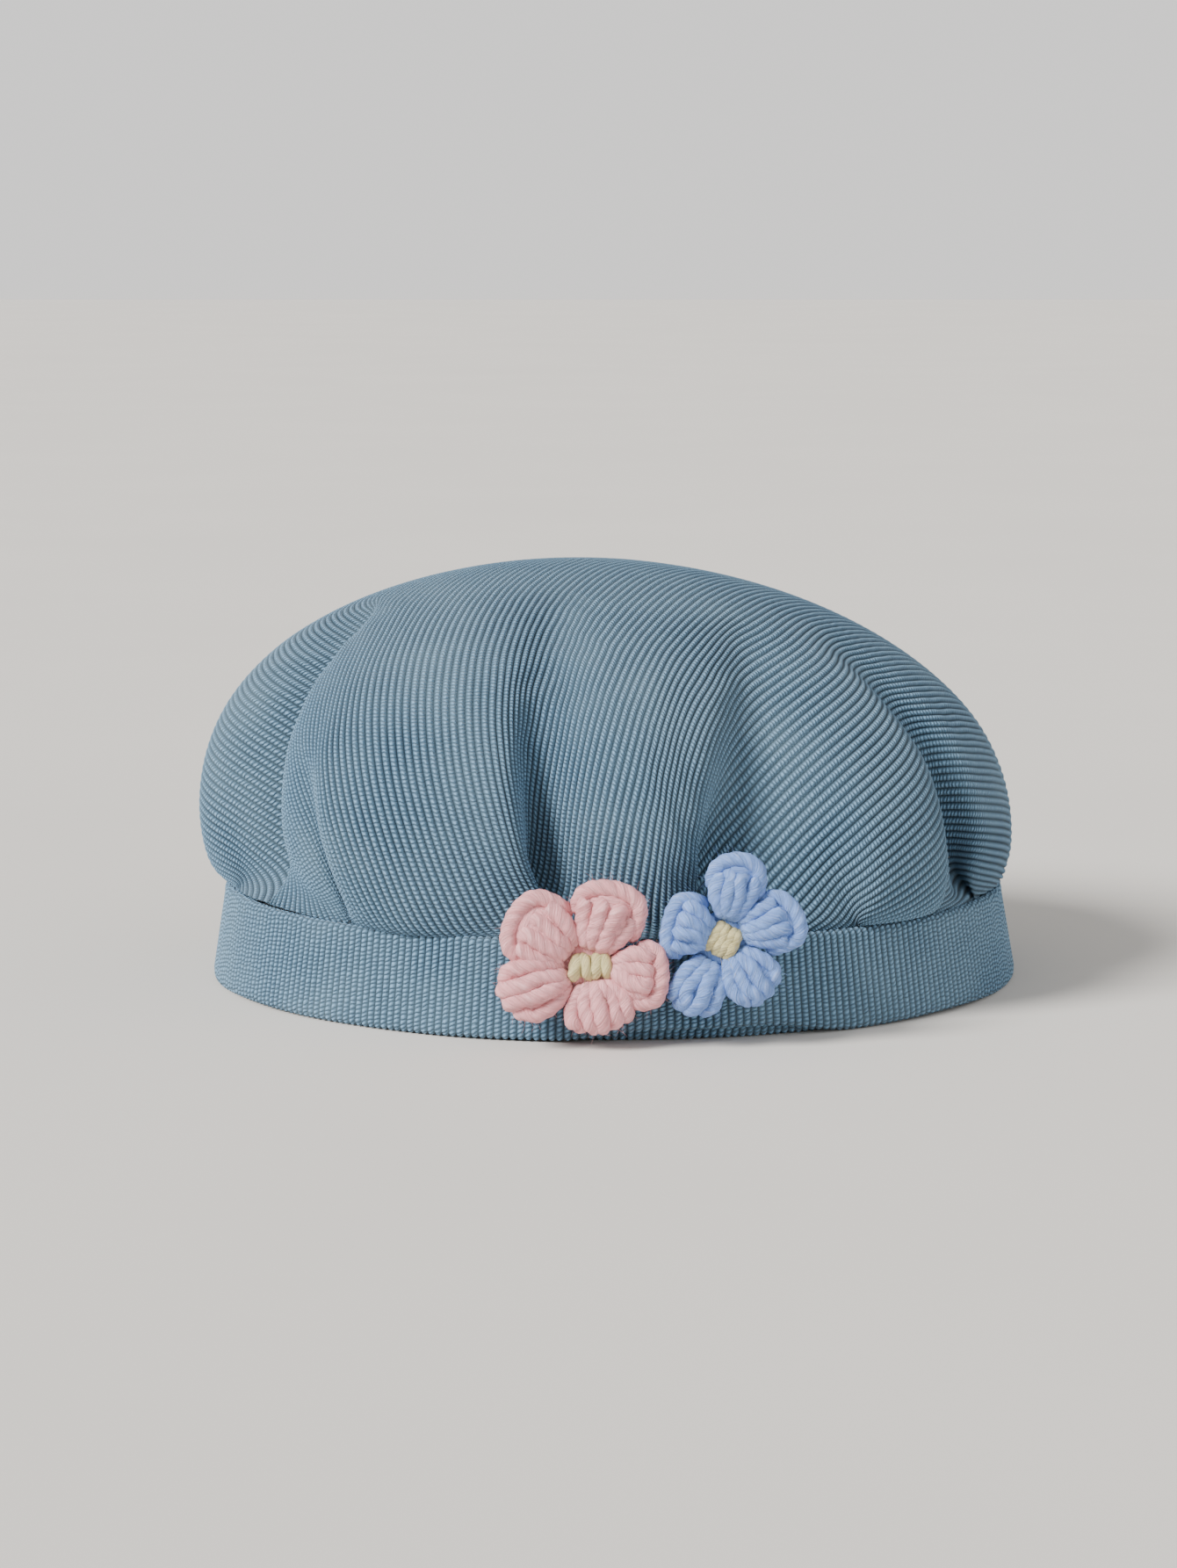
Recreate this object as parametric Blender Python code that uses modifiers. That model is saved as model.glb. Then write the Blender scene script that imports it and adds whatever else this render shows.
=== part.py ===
"""Newborn's corduroy cap: a round crown gathered into a folded band, with two crocheted flowers sewn on.

The cap stands on its hem. The origin is the centre of the head opening in the hem plane, +Z is up
through the crown, and the front, where the flowers are, faces -Y. Lengths are in metres.
"""

from math import atan2, ceil, cos, pi, radians, sin, sqrt, tan

import bmesh
import bpy
from mathutils import Matrix, Vector

MM = 0.001

# Head opening and band. Half widths are measured along X; the cap is an ellipse in plan.
BAND_TOP_HALF_WIDTH = 64.0 * MM
BAND_FLARE = 2.0 * MM
HEM_HALF_WIDTH = BAND_TOP_HALF_WIDTH + BAND_FLARE
DEPTH_RATIO = 0.88
BAND_HEIGHT = 15.5 * MM

# Cloth and thread.
CORD_THICKNESS = 0.9 * MM
INTERFACING_THICKNESS = 0.4 * MM
LINING_THICKNESS = 0.5 * MM
THREAD_DIAMETER = 0.4 * MM
GAP = 0.35 * MM

# Seams.
SEAM_ALLOWANCE = 5.0 * MM
HEM_STITCH_HEIGHT = 4.0 * MM
INTERFACING_MARGIN = 0.6 * MM
GATHER_STITCH_DROP = 1.3 * MM
BAND_STITCH_DROP = 3.2 * MM
FACING_KNEE_HEIGHT = BAND_HEIGHT - SEAM_ALLOWANCE - GAP
PUFF_START = BAND_HEIGHT + GAP + CORD_THICKNESS

# Crown and its lining.
CROWN_HEIGHT = 68.0 * MM
PUFF_OVERHANG = 4.2 * MM
CROWN_HALF_WIDTH = BAND_TOP_HALF_WIDTH + PUFF_OVERHANG
PUFF_HEIGHT = 9.0 * MM
CROWN_LEAN = -5.8 * MM
CROWN_SQUARENESS = 2.04
LINING_DROP = 11.0 * MM
LINING_SQUARENESS = 2.0

# Folds of the gathered crown: azimuth from the front towards +X, depth, reach above the band, half width.
FOLDS = [
    (-8.5, 6.5, 44.0, 8.0),
    (18.5, 6.0, 32.0, 8.0),
    (43.0, 3.0, 14.0, 7.0),
    (74.0, 4.5, 24.0, 8.0),
    (97.0, 3.5, 20.0, 7.0),
    (122.0, 4.5, 28.0, 8.0),
    (146.0, 3.5, 22.0, 7.0),
    (171.0, 5.0, 34.0, 8.0),
    (-163.0, 4.0, 24.0, 7.0),
    (-140.0, 4.5, 30.0, 8.0),
    (-116.0, 3.5, 22.0, 7.0),
    (-88.0, 4.5, 26.0, 8.0),
    (-58.0, 5.5, 30.0, 8.0),
    (-36.0, 3.5, 20.0, 7.0),
]
FOLD_RISE = 7.0 * MM

# Crocheted flowers, each a ring of five puff petals round a centre. A petal is its angle in degrees,
# anticlockwise from +X as seen from the front, and its length in millimetres.
PETAL_THICKNESS = 7.0 * MM
PETAL_TAPER = 0.16
CENTRE_RADIUS = 3.1 * MM
CENTRE_THICKNESS = 4.4 * MM
CENTRE_CLEARANCE = 0.5 * MM
TACK_DIAMETER = 1.6 * MM
FLOWER_TILT = 6.0
FLOWERS = {
    "pink": {
        "across": -3.7 * MM,
        "up": 12.8 * MM,
        "petals": ((142.0, 10.8), (72.0, 10.0), (-12.0, 7.8), (-76.0, 7.4), (-155.0, 10.4)),
    },
    "blue": {
        "across": 15.3 * MM,
        "up": 16.6 * MM,
        "petals": ((78.0, 10.2), (17.0, 9.4), (-54.0, 8.6), (-117.0, 8.4), (158.0, 6.0)),
    },
}

# Facets.
BAND_STEPS = 72
CROWN_STEPS = 96
LINING_STEPS = 48
THREAD_STEPS = 72
CROWN_ROWS = 9
LINING_ROWS = 7
PETAL_SEGMENTS = 12
PETAL_RINGS = 8
TACK_SIDES = 10

# Colours are linear RGB.
FINISHES = {
    "corduroy": ((0.155, 0.262, 0.345), 0.88),
    "lining_cotton": ((0.62, 0.66, 0.68), 0.92),
    "interfacing": ((0.80, 0.80, 0.78), 0.95),
    "blue_thread": ((0.13, 0.23, 0.31), 0.70),
    "pink_yarn": ((0.82, 0.42, 0.40), 0.93),
    "blue_yarn": ((0.31, 0.45, 0.76), 0.93),
    "yellow_yarn": ((0.72, 0.62, 0.33), 0.93),
    "clear_thread": ((0.82, 0.80, 0.76), 0.45),
}


def clear_scene():
    for old in list(bpy.data.objects):
        bpy.data.objects.remove(old, do_unlink=True)


def make_materials():
    materials = {}
    for name, (colour, roughness) in FINISHES.items():
        material = bpy.data.materials.new(name)
        material.use_nodes = True
        shader = material.node_tree.nodes["Principled BSDF"]
        shader.inputs["Base Color"].default_value = (*colour, 1.0)
        shader.inputs["Roughness"].default_value = roughness
        shader.inputs["Metallic"].default_value = 0.0
        materials[name] = material
    return materials


def make_collection():
    collection = bpy.data.collections.new("newborn_cap")
    bpy.context.scene.collection.children.link(collection)
    return collection


def add_object(name, data, material, collection, parent=None):
    data.materials.append(material)
    made = bpy.data.objects.new(name, data)
    made.parent = parent
    collection.objects.link(made)
    return made


def mesh_from(bm, name, smooth_angle=40.0):
    mesh = bpy.data.meshes.new(name)
    bm.to_mesh(mesh)
    bm.free()
    mesh.shade_smooth()
    mesh.set_sharp_from_angle(angle=radians(smooth_angle))
    return mesh


def spun(points, steps, closed):
    """A surface turned about Z from (radius, height) points, squeezed in Y to the cap's oval plan."""
    bm = bmesh.new()
    verts = [bm.verts.new((radius, 0.0, height)) for radius, height in points]
    pairs = list(zip(verts, verts[1:]))
    if closed:
        pairs.append((verts[-1], verts[0]))
    edges = [bm.edges.new(pair) for pair in pairs]
    bmesh.ops.spin(
        bm, geom=verts + edges, cent=(0, 0, 0), axis=(0, 0, 1), angle=2 * pi, steps=steps, use_merge=True
    )
    bmesh.ops.remove_doubles(bm, verts=bm.verts, dist=GAP / 100)
    bmesh.ops.recalc_face_normals(bm, faces=bm.faces)
    widest = max(bm.faces, key=lambda face: face.calc_center_median().xy.length)
    outward = widest.calc_center_median().xy
    if widest.normal.xy.dot(outward) < 0:
        bmesh.ops.reverse_faces(bm, faces=bm.faces)
    bmesh.ops.scale(bm, vec=(1.0, DEPTH_RATIO, 1.0), verts=bm.verts)
    return bm


def along_band(at_hem, at_top, height):
    """A half width that changes evenly from the hem to the top of the band."""
    return at_hem + (at_top - at_hem) * height / BAND_HEIGHT


def seam_stack():
    """Half widths of each layer's outer face at the top of the band, from the outside in."""
    interfacing = BAND_TOP_HALF_WIDTH - CORD_THICKNESS - GAP
    crown = interfacing - INTERFACING_THICKNESS - GAP
    threads = crown - CORD_THICKNESS - GAP - THREAD_DIAMETER / 2
    lining = threads - THREAD_DIAMETER / 2 - GAP
    facing = lining - LINING_THICKNESS - GAP
    return {
        "interfacing": interfacing,
        "crown": crown,
        "threads": threads,
        "lining": lining,
        "facing": facing,
    }


def hem_stack():
    """Half widths of each layer's outer face at the hem, from the outside in."""
    interfacing = HEM_HALF_WIDTH - CORD_THICKNESS - GAP
    facing = interfacing - INTERFACING_THICKNESS - GAP
    return {"interfacing": interfacing, "facing": facing}


def band_strip(name, outer_face, thickness, material, collection):
    """One closed strip of the band, from the (half width, height) points of its outer face, bottom first."""
    inner_face = [(half_width - thickness, height) for half_width, height in reversed(outer_face)]
    bm = spun(outer_face + inner_face, BAND_STEPS, closed=True)
    return add_object(name, mesh_from(bm, name), material, collection)


def lean_at(height):
    """Sideways lean of the crown, growing from the top of the band to the crown's top."""
    rise = max(0.0, height - PUFF_START) / (CROWN_HEIGHT - PUFF_START)
    return CROWN_LEAN * rise


def fold_depth(azimuth, height):
    """How far the gathers pull the crown's cloth in, at one azimuth in degrees and one height."""
    above = height - PUFF_START
    if above <= 0.0:
        return 0.0
    depth = 0.0
    for centre, deep, reach, half_width in FOLDS:
        away = (azimuth - centre + 180.0) % 360.0 - 180.0
        across = max(0.0, 1.0 - (away / half_width) ** 2)
        fade = max(0.0, 1.0 - above / (reach * MM))
        depth += deep * MM * across * min(1.0, above / FOLD_RISE) * fade**0.5
    return depth


def dome_points(rim, low, seam, widest, widest_height, top, squareness, rows):
    """Profile from the seam allowance, over the puff, along a superellipse to the top."""
    points = [(rim, low), (rim, seam)]
    for step in range(1, 4):
        turn = step / 4 * pi / 2
        points.append((rim + (widest - rim) * sin(turn), widest_height - (widest_height - seam) * cos(turn)))
    for row in range(rows):
        turn = row / rows * pi / 2
        across = widest * cos(turn) ** (2 / squareness)
        points.append((across, widest_height + (top - widest_height) * sin(turn) ** (2 / squareness)))
    points.append((0.0, top))
    return points


def add_shell(name, points, steps, thickness, gathered, material, collection):
    """A cloth dome open at the bottom: a turned surface, leaned and gathered, given its thickness inwards."""
    bm = spun(points, steps, closed=False)
    for vert in bm.verts:
        azimuth = atan2(vert.co.x, -vert.co.y / DEPTH_RATIO) * 180.0 / pi
        across = vert.co.xy.length
        if gathered and across > 0.0:
            pulled = min(fold_depth(azimuth, vert.co.z), across / 3)
            vert.co.x *= 1.0 - pulled / across
            vert.co.y *= 1.0 - pulled / across
        vert.co.x += lean_at(vert.co.z)
    made = add_object(name, mesh_from(bm, name, 60.0), material, collection)
    wall = made.modifiers.new("cloth_thickness", "SOLIDIFY")
    wall.thickness = thickness
    wall.offset = -1.0
    return made


def add_crown(materials, collection):
    rim = seam_stack()["crown"]
    points = dome_points(
        rim,
        BAND_HEIGHT - SEAM_ALLOWANCE,
        PUFF_START,
        CROWN_HALF_WIDTH,
        BAND_HEIGHT + PUFF_HEIGHT,
        CROWN_HEIGHT,
        CROWN_SQUARENESS,
        CROWN_ROWS,
    )
    corduroy = materials["corduroy"]
    return add_shell("crown_shell", points, CROWN_STEPS, CORD_THICKNESS, True, corduroy, collection)


def add_lining(materials, collection):
    rim = seam_stack()["lining"]
    points = dome_points(
        rim,
        BAND_HEIGHT - SEAM_ALLOWANCE,
        BAND_HEIGHT,
        rim,
        BAND_HEIGHT + GAP,
        CROWN_HEIGHT - LINING_DROP,
        LINING_SQUARENESS,
        LINING_ROWS,
    )
    # The lining rises straight from its allowance, so the puff's points are left out.
    points = points[:2] + points[5:]
    cotton = materials["lining_cotton"]
    return add_shell("crown_lining", points, LINING_STEPS, LINING_THICKNESS, False, cotton, collection)


def facing_outside(height):
    """Half width of the facing's outer face: upright beside the seam allowances, then out to the hem."""
    top = seam_stack()["facing"]
    hem = hem_stack()["facing"]
    return hem + (top - hem) * min(1.0, height / FACING_KNEE_HEIGHT)


def add_band(materials, collection):
    hem = hem_stack()["interfacing"]
    top = seam_stack()["interfacing"]
    corduroy = materials["corduroy"]
    outer = [(HEM_HALF_WIDTH, 0.0), (BAND_TOP_HALF_WIDTH, BAND_HEIGHT)]
    band_strip("band_outer", outer, CORD_THICKNESS, corduroy, collection)
    edges = (INTERFACING_MARGIN, BAND_HEIGHT - INTERFACING_MARGIN)
    middle = [(along_band(hem, top, height), height) for height in edges]
    stiff = materials["interfacing"]
    band_strip("band_interfacing", middle, INTERFACING_THICKNESS, stiff, collection)
    inner = [(facing_outside(height), height) for height in (GAP, FACING_KNEE_HEIGHT, BAND_HEIGHT)]
    band_strip("band_facing", inner, CORD_THICKNESS, corduroy, collection)


def add_thread(name, half_width, height, materials, collection):
    """A line of stitching that runs all the way round the cap."""
    curve = bpy.data.curves.new(name, "CURVE")
    curve.dimensions = "3D"
    curve.bevel_depth = THREAD_DIAMETER / 2
    curve.bevel_resolution = 1
    spline = curve.splines.new("POLY")
    spline.points.add(THREAD_STEPS - 1)
    for step, point in enumerate(spline.points):
        turn = 2 * pi * step / THREAD_STEPS
        point.co = (half_width * cos(turn), half_width * DEPTH_RATIO * sin(turn), height, 1.0)
    spline.use_cyclic_u = True
    return add_object(name, curve, materials["blue_thread"], collection)


def add_threads(materials, collection):
    hem = hem_stack()
    top = seam_stack()
    interfacing_inside = (
        along_band(hem["interfacing"], top["interfacing"], HEM_STITCH_HEIGHT) - INTERFACING_THICKNESS
    )
    middle = (interfacing_inside + facing_outside(HEM_STITCH_HEIGHT)) / 2
    add_thread("hem_stitching", middle, HEM_STITCH_HEIGHT, materials, collection)
    gather_height = BAND_HEIGHT - GATHER_STITCH_DROP
    add_thread("gathering_thread", top["threads"], gather_height, materials, collection)
    seam_height = BAND_HEIGHT - BAND_STITCH_DROP
    add_thread("band_seam_stitching", top["threads"], seam_height, materials, collection)


def oval_azimuth(across, half_width):
    """Azimuth parameter of the oval at a distance across from the middle."""
    return atan2(across, sqrt(half_width**2 - across**2))


def flower_frame(across, up):
    """Matrix of a flower whose back is clear of the band and the crown's puff: X right, Y up, Z outwards."""
    widest = max(CROWN_HALF_WIDTH, HEM_HALF_WIDTH)
    azimuth = oval_azimuth(across, widest)
    surface = Vector((widest * sin(azimuth), -widest * DEPTH_RATIO * cos(azimuth), up))
    outward = Vector((DEPTH_RATIO * sin(azimuth), -cos(azimuth), -tan(radians(FLOWER_TILT)))).normalized()
    right = Vector((0, 0, 1)).cross(-outward).normalized() * -1
    upward = outward.cross(right)
    middle = surface + outward * (PETAL_THICKNESS / 2 + GAP + flower_lift())
    turned = Matrix((right, upward, outward)).transposed()
    return Matrix.Translation(middle) @ turned.to_4x4()


def flower_lift():
    """Extra stand-off that keeps the lower petals, which the tilt turns inwards, clear of the band."""
    longest = max(length for spot in FLOWERS.values() for _, length in spot["petals"])
    return (petal_distance(longest * MM) + longest * MM / 2) * sin(radians(FLOWER_TILT)) / 3


def petal_distance(length):
    """Distance from a flower's middle to the middle of a petal."""
    return CENTRE_RADIUS + CENTRE_CLEARANCE + length / 2


def petal_half_width(angle, length, angles):
    """The widest a petal can be in its share of the circle, clear of its neighbours."""
    nearest = min(abs((angle - other + 180.0) % 360.0 - 180.0) for other in angles if other != angle)
    share = radians(nearest / 2)
    free = sqrt(petal_distance(length) ** 2 - (length / 2) ** 2)
    return (free * tan(share) - GAP / 2 / cos(share)) / (1.0 + PETAL_TAPER / 2)


def add_petal(name, angle, length, half_width, frame, material, collection):
    """A puff petal: an egg whose narrow end points at the flower's middle."""
    bm = bmesh.new()
    bmesh.ops.create_uvsphere(bm, u_segments=PETAL_SEGMENTS, v_segments=PETAL_RINGS, radius=1.0)
    bmesh.ops.rotate(bm, cent=(0, 0, 0), matrix=Matrix.Rotation(pi / 2, 3, "Y"), verts=bm.verts)
    for vert in bm.verts:
        vert.co.y *= 1.0 + PETAL_TAPER * vert.co.x
    bmesh.ops.scale(bm, vec=(length / 2, half_width, PETAL_THICKNESS / 2), verts=bm.verts)
    made = add_object(name, mesh_from(bm, name, 80.0), material, collection, frame)
    turn = radians(angle)
    away = petal_distance(length)
    made.location = (away * cos(turn), away * sin(turn), 0.0)
    made.rotation_euler = (0.0, 0.0, turn)
    return made


def add_flower_centre(name, frame, material, collection):
    bm = bmesh.new()
    bmesh.ops.create_uvsphere(bm, u_segments=PETAL_SEGMENTS, v_segments=PETAL_RINGS, radius=1.0)
    bmesh.ops.scale(bm, vec=(CENTRE_RADIUS, CENTRE_RADIUS, CENTRE_THICKNESS / 2), verts=bm.verts)
    return add_object(name, mesh_from(bm, name, 80.0), material, collection, frame)


def add_tack(name, colour, matrix, materials, collection):
    """The stitches that hold a flower on, from the back of its centre to the face of the band."""
    spot = FLOWERS[colour]
    outward = matrix.to_3x3() @ Vector((0, 0, 1))
    middle = matrix.translation
    half_width = along_band(HEM_HALF_WIDTH, BAND_TOP_HALF_WIDTH, min(spot["up"], BAND_HEIGHT))
    face = Vector(middle)
    # Step inwards along the flower's axis until the oval of the band's face is reached.
    steps = ceil(HEM_HALF_WIDTH / (GAP / 10))
    for step in range(steps):
        face = middle - outward * (step * GAP / 10)
        if (face.x / half_width) ** 2 + (face.y / (half_width * DEPTH_RATIO)) ** 2 <= 1.0:
            break
    near = CENTRE_THICKNESS / 2 + GAP
    slant = TACK_DIAMETER * tan(radians(FLOWER_TILT))
    far = (middle - face).length - GAP - slant
    bm = bmesh.new()
    bmesh.ops.create_cone(
        bm,
        cap_ends=True,
        segments=TACK_SIDES,
        radius1=TACK_DIAMETER / 2,
        radius2=TACK_DIAMETER / 2,
        depth=far - near,
    )
    made = add_object(name, mesh_from(bm, name), materials["clear_thread"], collection)
    made.matrix_world = matrix @ Matrix.Translation((0, 0, -(near + far) / 2))
    return made


def add_flower(colour, materials, collection):
    spot = FLOWERS[colour]
    matrix = flower_frame(spot["across"], spot["up"])
    frame = bpy.data.objects.new(f"{colour}_flower", None)
    frame.matrix_world = matrix
    collection.objects.link(frame)
    yarn = materials[f"{colour}_yarn"]
    angles = [angle for angle, _ in spot["petals"]]
    for number, (angle, millimetres) in enumerate(spot["petals"], start=1):
        length = millimetres * MM
        half_width = petal_half_width(angle, length, angles)
        add_petal(f"{colour}_petal_{number}", angle, length, half_width, frame, yarn, collection)
    add_flower_centre(f"{colour}_flower_centre", frame, materials["yellow_yarn"], collection)
    add_tack(f"{colour}_flower_tack", colour, matrix, materials, collection)


def main():
    clear_scene()
    materials = make_materials()
    collection = make_collection()
    add_crown(materials, collection)
    add_lining(materials, collection)
    add_band(materials, collection)
    add_threads(materials, collection)
    for colour in FLOWERS:
        add_flower(colour, materials, collection)


main()
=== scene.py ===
from math import ceil, cos, pi, radians, sin

import bmesh
import bpy
import numpy as np
from bpy.props import FloatProperty, FloatVectorProperty, IntProperty, PointerProperty
from bpy.types import Operator, Panel, PropertyGroup
from mathutils import Matrix, Vector
from mathutils.bvhtree import BVHTree


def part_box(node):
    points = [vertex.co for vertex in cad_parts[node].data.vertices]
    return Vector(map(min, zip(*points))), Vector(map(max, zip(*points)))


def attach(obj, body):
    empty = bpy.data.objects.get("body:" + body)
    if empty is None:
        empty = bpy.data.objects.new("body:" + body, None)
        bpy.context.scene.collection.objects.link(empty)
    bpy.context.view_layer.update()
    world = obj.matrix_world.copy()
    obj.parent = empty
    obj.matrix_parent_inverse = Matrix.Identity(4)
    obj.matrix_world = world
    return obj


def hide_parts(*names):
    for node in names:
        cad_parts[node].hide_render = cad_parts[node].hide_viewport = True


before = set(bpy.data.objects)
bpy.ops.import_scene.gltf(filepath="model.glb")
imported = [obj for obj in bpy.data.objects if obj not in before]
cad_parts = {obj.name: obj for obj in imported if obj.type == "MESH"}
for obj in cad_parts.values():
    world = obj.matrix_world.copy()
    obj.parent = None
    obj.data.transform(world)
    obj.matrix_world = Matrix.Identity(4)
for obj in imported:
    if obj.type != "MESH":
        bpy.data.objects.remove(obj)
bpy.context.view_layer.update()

bl_info = {
    "name": "Newborn's Gathered Corduroy Beret",
    "version": (1, 0, 0),
    "blender": (4, 5, 0),
    "location": "View3D > Sidebar > Beret",
    "description": "A round corduroy crown gathered into a folded band, with two crocheted flowers",
    "category": "Object",
}

MM = 0.001

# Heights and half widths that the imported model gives.
BAND_LOW, BAND_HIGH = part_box("band_outer")
SHELL_LOW, SHELL_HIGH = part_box("crown_shell")
LINING_LOW, LINING_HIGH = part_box("crown_lining")
FACING_LOW, FACING_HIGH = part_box("band_facing")
SEAM_Z = BAND_HIGH.z
TOP_Z = SHELL_HIGH.z
DEPTH = BAND_HIGH.y / BAND_HIGH.x
HEM_HALF = BAND_HIGH.x

# The crown as it is worn: the seam inside the top of the band, its widest height, how far the top
# leans towards -X, and how far the puffed cloth stands out past the seam.
RIM_HALF = HEM_HALF - 3.4 * MM
CROWN_HALF = SHELL_HIGH.x + 1.9 * MM
WIDEST_Z = SEAM_Z + 9.0 * MM
LEAN = -5.8 * MM
DOME_Z = TOP_Z + 0.2 * MM
SQUARENESS = 1.99

# Every fold of the gathered crown: azimuth at the seam from the front towards +X, cloth taken up in
# millimetres, how far it reaches towards the top of the crown, how far round it leans on the way in
# degrees, its width in degrees, its depth in millimetres, and the side its lip folds over towards.
FOLDS = (
    (-12.0, 31.0, 0.76, 5.0, 11.0, 13.5, 1),
    (10.5, 28.0, 0.62, 24.0, 11.0, 13.0, 1),
    (37.0, 12.0, 0.25, -4.0, 5.0, 3.0, -1),
    (53.0, 12.0, 0.26, 4.0, 5.0, 3.0, 1),
    (70.0, 26.0, 0.56, -6.0, 9.0, 9.0, -1),
    (85.0, 10.0, 0.30, 0.0, 4.0, 3.0, 1),
    (102.0, 18.0, 0.45, 3.0, 6.0, 4.0, -1),
    (122.0, 14.0, 0.35, -3.0, 5.0, 3.0, 1),
    (143.0, 22.0, 0.55, 4.0, 7.0, 5.0, -1),
    (166.0, 18.0, 0.45, -5.0, 6.0, 4.0, 1),
    (190.0, 16.0, 0.40, 3.0, 5.0, 4.0, -1),
    (214.0, 22.0, 0.55, -3.0, 7.0, 5.0, 1),
    (238.0, 14.0, 0.40, 4.0, 5.0, 3.5, -1),
    (262.0, 16.0, 0.45, -2.0, 6.0, 4.0, 1),
    (282.0, 10.0, 0.35, 3.0, 5.0, 3.0, -1),
    (300.0, 30.0, 0.64, -4.0, 11.0, 21.0, -1),
    (319.0, 14.0, 0.30, -8.0, 5.0, 3.5, 1),
)
SIM_RINGS = 48
SIM_SECTORS = 240
SIM_SCALE = 10.0
CLOSE_FRAME = 20
LAST_FRAME = 40

# Both flowers, seen from the front. Each petal is the angle of its middle anticlockwise from +X in
# degrees, then in millimetres how far that is from the flower's centre, its width and its length, then
# its strands, whether a strand hoods it (-1 or 1) or not (0), and how far it puffs out in millimetres.
# A centre is its width and height in millimetres and its lean in degrees.
BASE_ROUND = (4.8 * MM, 4.8 * MM, 1.5 * MM)
TILT = -6.0
FLOWERS = {
    "pink": {
        "yarn": 1.0,
        "size": 0.92,
        "ends": 0.1,
        "centre": (7.6, 4.8, 4.0),
        "petals": (
            (145.0, 9.9, 12.2, 12.6, 4, 1, 3.3),
            (71.0, 8.7, 12.0, 12.2, 4, -1, 3.4),
            (-9.0, 8.3, 10.8, 9.8, 4, 1, 2.7),
            (-76.0, 7.0, 11.6, 8.8, 5, 0, 2.4),
            (-159.0, 9.8, 10.8, 12.2, 4, 0, 2.9),
        ),
    },
    "blue": {
        "yarn": 0.92,
        "size": 0.91,
        "ends": 0.5,
        "centre": (5.0, 6.6, -28.0),
        "petals": (
            (78.0, 9.2, 9.4, 11.6, 4, 1, 3.2),
            (19.0, 8.7, 10.0, 10.8, 4, -1, 2.8),
            (-53.0, 7.5, 9.4, 10.0, 4, 0, 2.6),
            (-118.0, 8.9, 9.4, 10.0, 4, 0, 2.6),
            (160.0, 6.4, 10.8, 8.6, 4, 1, 3.0),
        ),
    },
}


# ---------------------------------------------------------------------------------------- settings


class BeretCloth(PropertyGroup):
    cut_radius: FloatProperty(
        name="Crown cut radius", description="Radius of the flat round piece the crown is cut from",
        default=0.0985, min=0.05, max=0.3, unit="LENGTH",
    )
    wale_pitch: FloatProperty(
        name="Wale pitch", description="Distance from one rib of the corduroy to the next",
        default=0.00121, min=0.0005, max=0.005, unit="LENGTH",
    )
    wale_height: FloatProperty(
        name="Wale height", description="Height of a rib above the groove beside it",
        default=0.00042, min=0.0, max=0.002, unit="LENGTH",
    )
    grain: FloatProperty(
        name="Grain", description="Turn of the ribs on the crown against the front of the band",
        default=radians(20.0), subtype="ANGLE",
    )
    fullness: FloatProperty(
        name="Fullness", description="Air pressure that fills the crown while it settles",
        default=6.0, min=0.0, max=20.0,
    )
    shape_hold: FloatProperty(
        name="Shape hold", description="How firmly the crown keeps to its worn shape while it settles",
        default=0.8, min=0.0, max=1.0, subtype="FACTOR",
    )
    stiffness: FloatProperty(
        name="Bending stiffness", description="Resistance of the corduroy to bending",
        default=3.0, min=0.0, max=50.0,
    )
    fold_depth: FloatProperty(
        name="Fold depth", description="Depth of the gathered folds against the cloth they take up",
        default=1.75, min=0.0, max=4.0,
    )


class BeretFlowers(PropertyGroup):
    yarn: FloatProperty(
        name="Yarn diameter", description="Diameter of one strand of the crochet yarn",
        default=0.0027, min=0.0005, max=0.006, unit="LENGTH",
    )
    twist: FloatProperty(
        name="Twist", description="Length of one full turn of the plies in the yarn",
        default=0.0058, min=0.001, max=0.05, unit="LENGTH",
    )
    fuzz: IntProperty(
        name="Fuzz", description="Loose fibres standing off each petal", default=170, min=0, max=400,
    )


class BeretColours(PropertyGroup):
    cord: FloatVectorProperty(
        name="Corduroy", description="Crest of the ribs", subtype="COLOR", size=3,
        default=(0.168, 0.318, 0.480), min=0.0, max=1.0,
    )
    # The groove colour: the ground between the ribs, darkened with painted shade.
    cord_groove_shade: FloatVectorProperty(
        name="Corduroy groove", description="Ground between the ribs", subtype="COLOR", size=3,
        default=(0.016, 0.048, 0.082), min=0.0, max=1.0,
    )
    lining: FloatVectorProperty(
        name="Lining", description="Cotton lining and interfacing", subtype="COLOR", size=3,
        default=(0.66, 0.70, 0.72), min=0.0, max=1.0,
    )
    thread: FloatVectorProperty(
        name="Thread", description="Sewing thread", subtype="COLOR", size=3,
        default=(0.13, 0.25, 0.34), min=0.0, max=1.0,
    )
    pink: FloatVectorProperty(
        name="Pink yarn", description="Petals of the larger flower", subtype="COLOR", size=3,
        default=(1.0, 0.47, 0.50), min=0.0, max=1.0,
    )
    blue: FloatVectorProperty(
        name="Blue yarn", description="Petals of the smaller flower", subtype="COLOR", size=3,
        default=(0.25, 0.42, 0.88), min=0.0, max=1.0,
    )
    yellow: FloatVectorProperty(
        name="Yellow yarn", description="Centres of both flowers", subtype="COLOR", size=3,
        default=(0.80, 0.70, 0.36), min=0.0, max=1.0,
    )
    floor: FloatVectorProperty(
        name="Floor", description="Plain pale floor", subtype="COLOR", size=3,
        default=(0.74, 0.71, 0.67), min=0.0, max=1.0,
    )


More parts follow.
